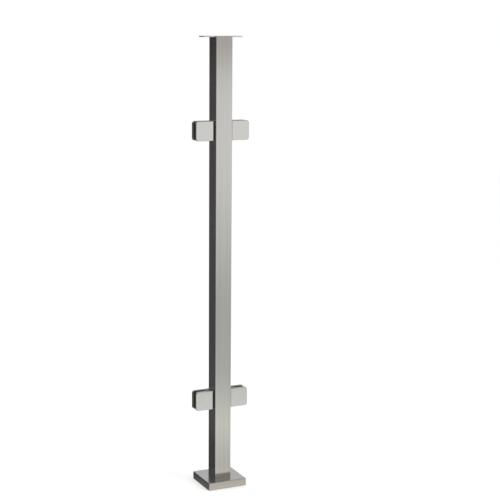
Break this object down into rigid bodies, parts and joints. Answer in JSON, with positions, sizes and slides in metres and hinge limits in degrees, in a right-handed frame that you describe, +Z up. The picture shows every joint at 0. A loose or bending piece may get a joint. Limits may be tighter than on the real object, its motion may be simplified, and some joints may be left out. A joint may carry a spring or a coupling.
{
  "type": "glass balustrade post",
  "caption": "Square brushed steel balustrade post with a sliding base cover over its floor flange, a handrail saddle plate and gasket-lined glass clamps on opposite sides.",
  "frame": {"origin": "centre of the base on the floor plane", "axes": "+Z up along the post, +X along the glass line, -Y towards the plain front faces of the clamps"},
  "size_m": [0.132, 0.096, 1.052],
  "materials": {
    "post_steel": "satin brushed along the tube",
    "saddle_steel": "satin brushed",
    "cover_steel": "satin brushed",
    "flange_steel": "mill finish",
    "weld_steel": "weld bead, as laid",
    "clamp_steel": "satin",
    "block_steel": "dull, as cast",
    "gasket_rubber": "moulded",
    "screw_steel": "plain stainless",
    "rivet_steel": "plain stainless"
  },
  "bodies": {
    "post": {"post_tube": "post_steel", "base_flange": "flange_steel", "foot_weld": "weld_steel", "saddle_plate": "saddle_steel", "upper_left_clamp_block": "block_steel", "upper_left_rear_jaw": "clamp_steel", "upper_left_front_jaw": "clamp_steel", "upper_left_rear_gasket": "gasket_rubber", "upper_left_front_gasket": "gasket_rubber", "upper_right_clamp_block": "block_steel", "upper_right_rear_jaw": "clamp_steel", "upper_right_front_jaw": "clamp_steel", "upper_right_rear_gasket": "gasket_rubber", "upper_right_front_gasket": "gasket_rubber", "lower_left_clamp_block": "block_steel", "lower_left_rear_jaw": "clamp_steel", "lower_left_front_jaw": "clamp_steel", "lower_left_rear_gasket": "gasket_rubber", "lower_left_front_gasket": "gasket_rubber", "lower_right_clamp_block": "block_steel", "lower_right_rear_jaw": "clamp_steel", "lower_right_front_jaw": "clamp_steel", "lower_right_rear_gasket": "gasket_rubber", "lower_right_front_gasket": "gasket_rubber", "jaw_screws": "screw_steel", "fixing_screws": "screw_steel", "rivet_nuts": "rivet_steel"},
    "cover": {"base_cover": "cover_steel"}
  },
  "joints": [
    {"name": "cover_lift", "type": "slide", "parent": "post", "child": "cover", "axis": [0, 0, 1], "range_m": [0, 0.167]}
  ]
}
